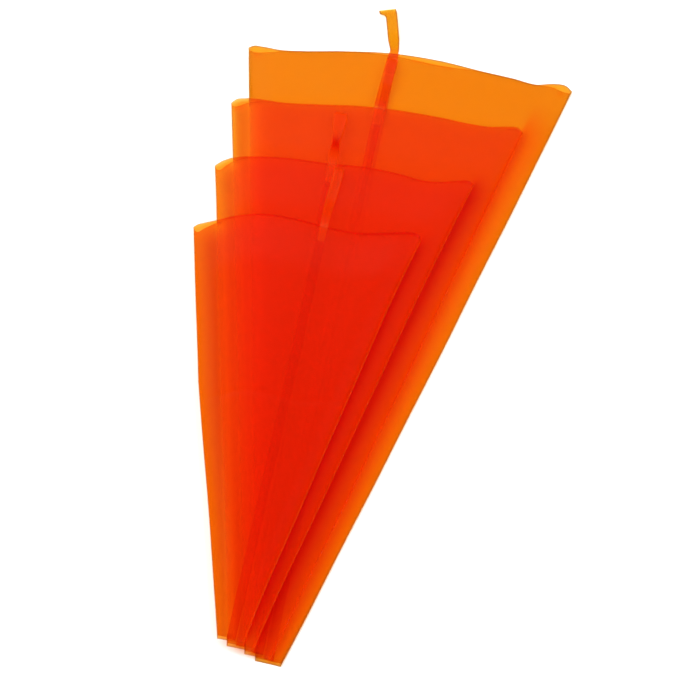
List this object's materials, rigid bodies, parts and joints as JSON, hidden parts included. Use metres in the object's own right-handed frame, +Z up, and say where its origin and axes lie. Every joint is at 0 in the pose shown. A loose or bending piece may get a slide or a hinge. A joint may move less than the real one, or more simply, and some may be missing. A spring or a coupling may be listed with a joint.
{
  "type": "piping bag set",
  "caption": "Graded set of reusable piping bags in translucent orange film, stacked flat in a fan, each an open-tipped cone with a welded seam and a ribbon hanging loop.",
  "frame": {"origin": "middle of the largest bag's flat underside: on its centre line, half-way from tip to mouth", "axes": "+Y along the largest bag from its tip to its mouth, +Z up through the stack, +X to the right seen from above with the mouths away from the viewer"},
  "size_m": [0.2425, 0.4811, 0.0269],
  "materials": {
    "film": "translucent orange thermoplastic polyurethane film, satin gloss",
    "seam_weld": "doubled film, heat welded, with fine weld ribs",
    "loop_ribbon": "narrow ribbon of the same film, smooth"
  },
  "bodies": {
    "bag_1": {"bag_1_film": "film", "bag_1_seam_band": "seam_weld", "bag_1_loop_tail": "loop_ribbon"},
    "bag_2": {"bag_2_film": "film", "bag_2_seam_band": "seam_weld", "bag_2_loop_tail": "loop_ribbon"},
    "bag_3": {"bag_3_film": "film", "bag_3_seam_band": "seam_weld", "bag_3_loop_tail": "loop_ribbon"},
    "bag_4": {"bag_4_film": "film", "bag_4_seam_band": "seam_weld", "bag_4_loop_tail": "loop_ribbon"},
    "loop_1": {"bag_1_hanging_loop": "loop_ribbon"},
    "loop_2": {"bag_2_hanging_loop": "loop_ribbon"},
    "loop_3": {"bag_3_hanging_loop": "loop_ribbon"},
    "loop_4": {"bag_4_hanging_loop": "loop_ribbon"}
  },
  "joints": [
    {"name": "bag_2_lift", "type": "slide", "parent": "bag_1", "child": "bag_2", "axis": [0, 0, 1], "range_m": [0, 0.12]},
    {"name": "bag_3_lift", "type": "slide", "parent": "bag_2", "child": "bag_3", "axis": [0, 0, 1], "range_m": [0, 0.12]},
    {"name": "bag_4_lift", "type": "slide", "parent": "bag_3", "child": "bag_4", "axis": [0, 0, 1], "range_m": [0, 0.12]},
    {"name": "bag_1_loop_bend", "type": "hinge", "parent": "bag_1", "child": "loop_1", "pos_m": [-0.01143, 0.22636, 0.0012], "axis": [0.9432, 0.3322, 0], "range_deg": [0, 90]},
    {"name": "bag_2_loop_bend", "type": "hinge", "parent": "bag_2", "child": "loop_2", "pos_m": [-0.01243, 0.1869, 0.008], "axis": [0.9991, -0.0419, 0], "range_deg": [0, 90]},
    {"name": "bag_3_loop_bend", "type": "hinge", "parent": "bag_3", "child": "loop_3", "pos_m": [-0.03646, 0.13845, 0.0148], "axis": [0.9974, 0.0715, 0], "range_deg": [0, 90]},
    {"name": "bag_4_loop_bend", "type": "hinge", "parent": "bag_4", "child": "loop_4", "pos_m": [-0.03207, 0.09554, 0.0216], "axis": [0.9999, -0.0122, 0], "range_deg": [0, 90]}
  ]
}
